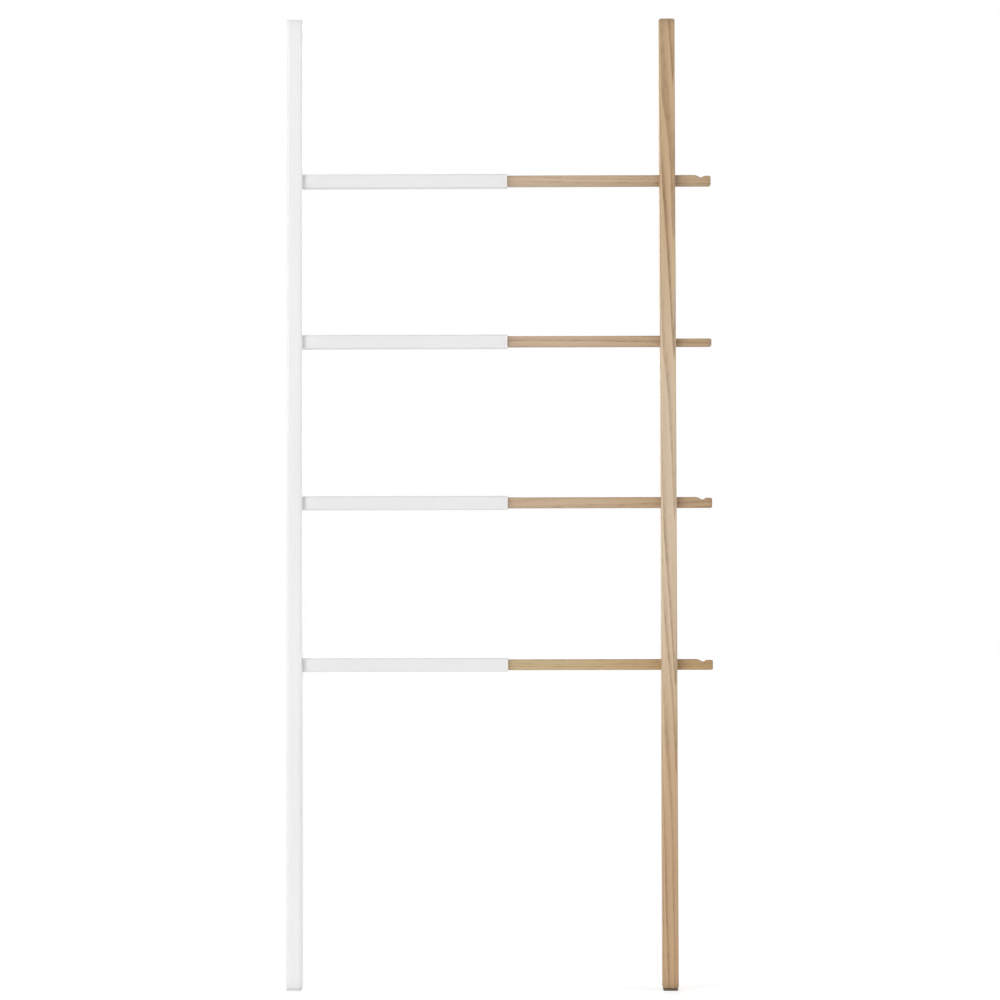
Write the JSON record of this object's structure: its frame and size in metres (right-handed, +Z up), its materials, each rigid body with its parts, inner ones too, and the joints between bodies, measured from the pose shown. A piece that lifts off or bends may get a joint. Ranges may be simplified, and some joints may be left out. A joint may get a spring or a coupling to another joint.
{
  "type": "towel ladder",
  "caption": "Leaning towel ladder with a white rail and square sleeves, and an ash rail whose square bars slide in them to set the width and end as hanging pegs.",
  "frame": {"origin": "on the floor, under the middle of the whole ladder, pegs included", "axes": "+Z up along the rails, +X from the white rail to the ash rail, +Y towards the wall that it leans on. It is stored upright, pulled out to its full width; in use it leans back about 10 degrees."},
  "size_m": [0.668, 0.0406, 1.524],
  "materials": {
    "white_painted_wood": "satin white paint on smooth wood",
    "white_coated_steel": "satin white powder coat",
    "white_plastic": "fine matt moulded",
    "ash_wood": "open-grained ash under a clear matt lacquer",
    "glide_plastic": "natural nylon",
    "plated_steel": "bright zinc plating",
    "pale_rubber": "matt pale grey rubber",
    "brown_rubber": "matt dark brown rubber"
  },
  "bodies": {
    "left_half": {"left_rail": "white_painted_wood", "rung_sleeve_1": "white_coated_steel", "rung_sleeve_2": "white_coated_steel", "rung_sleeve_3": "white_coated_steel", "rung_sleeve_4": "white_coated_steel", "sleeve_collar_1": "white_plastic", "sleeve_collar_2": "white_plastic", "sleeve_collar_3": "white_plastic", "sleeve_collar_4": "white_plastic", "sleeve_nut_1": "plated_steel", "sleeve_nut_2": "plated_steel", "sleeve_nut_3": "plated_steel", "sleeve_nut_4": "plated_steel", "sleeve_bolts": "plated_steel", "left_foot_pad": "pale_rubber", "left_wall_pad": "pale_rubber"},
    "right_half": {"right_rail": "ash_wood", "rung_bar_1": "ash_wood", "rung_bar_2": "ash_wood", "rung_bar_3": "ash_wood", "rung_bar_4": "ash_wood", "bar_glide_1": "glide_plastic", "bar_glide_2": "glide_plastic", "bar_glide_3": "glide_plastic", "bar_glide_4": "glide_plastic", "bar_screws": "plated_steel", "glide_screws": "plated_steel", "right_foot_pad": "brown_rubber", "right_wall_pad": "brown_rubber"}
  },
  "joints": [
    {"name": "width_slide", "type": "slide", "parent": "left_half", "child": "right_half", "axis": [1, 0, 0], "range_m": [-0.2035, 0]}
  ]
}
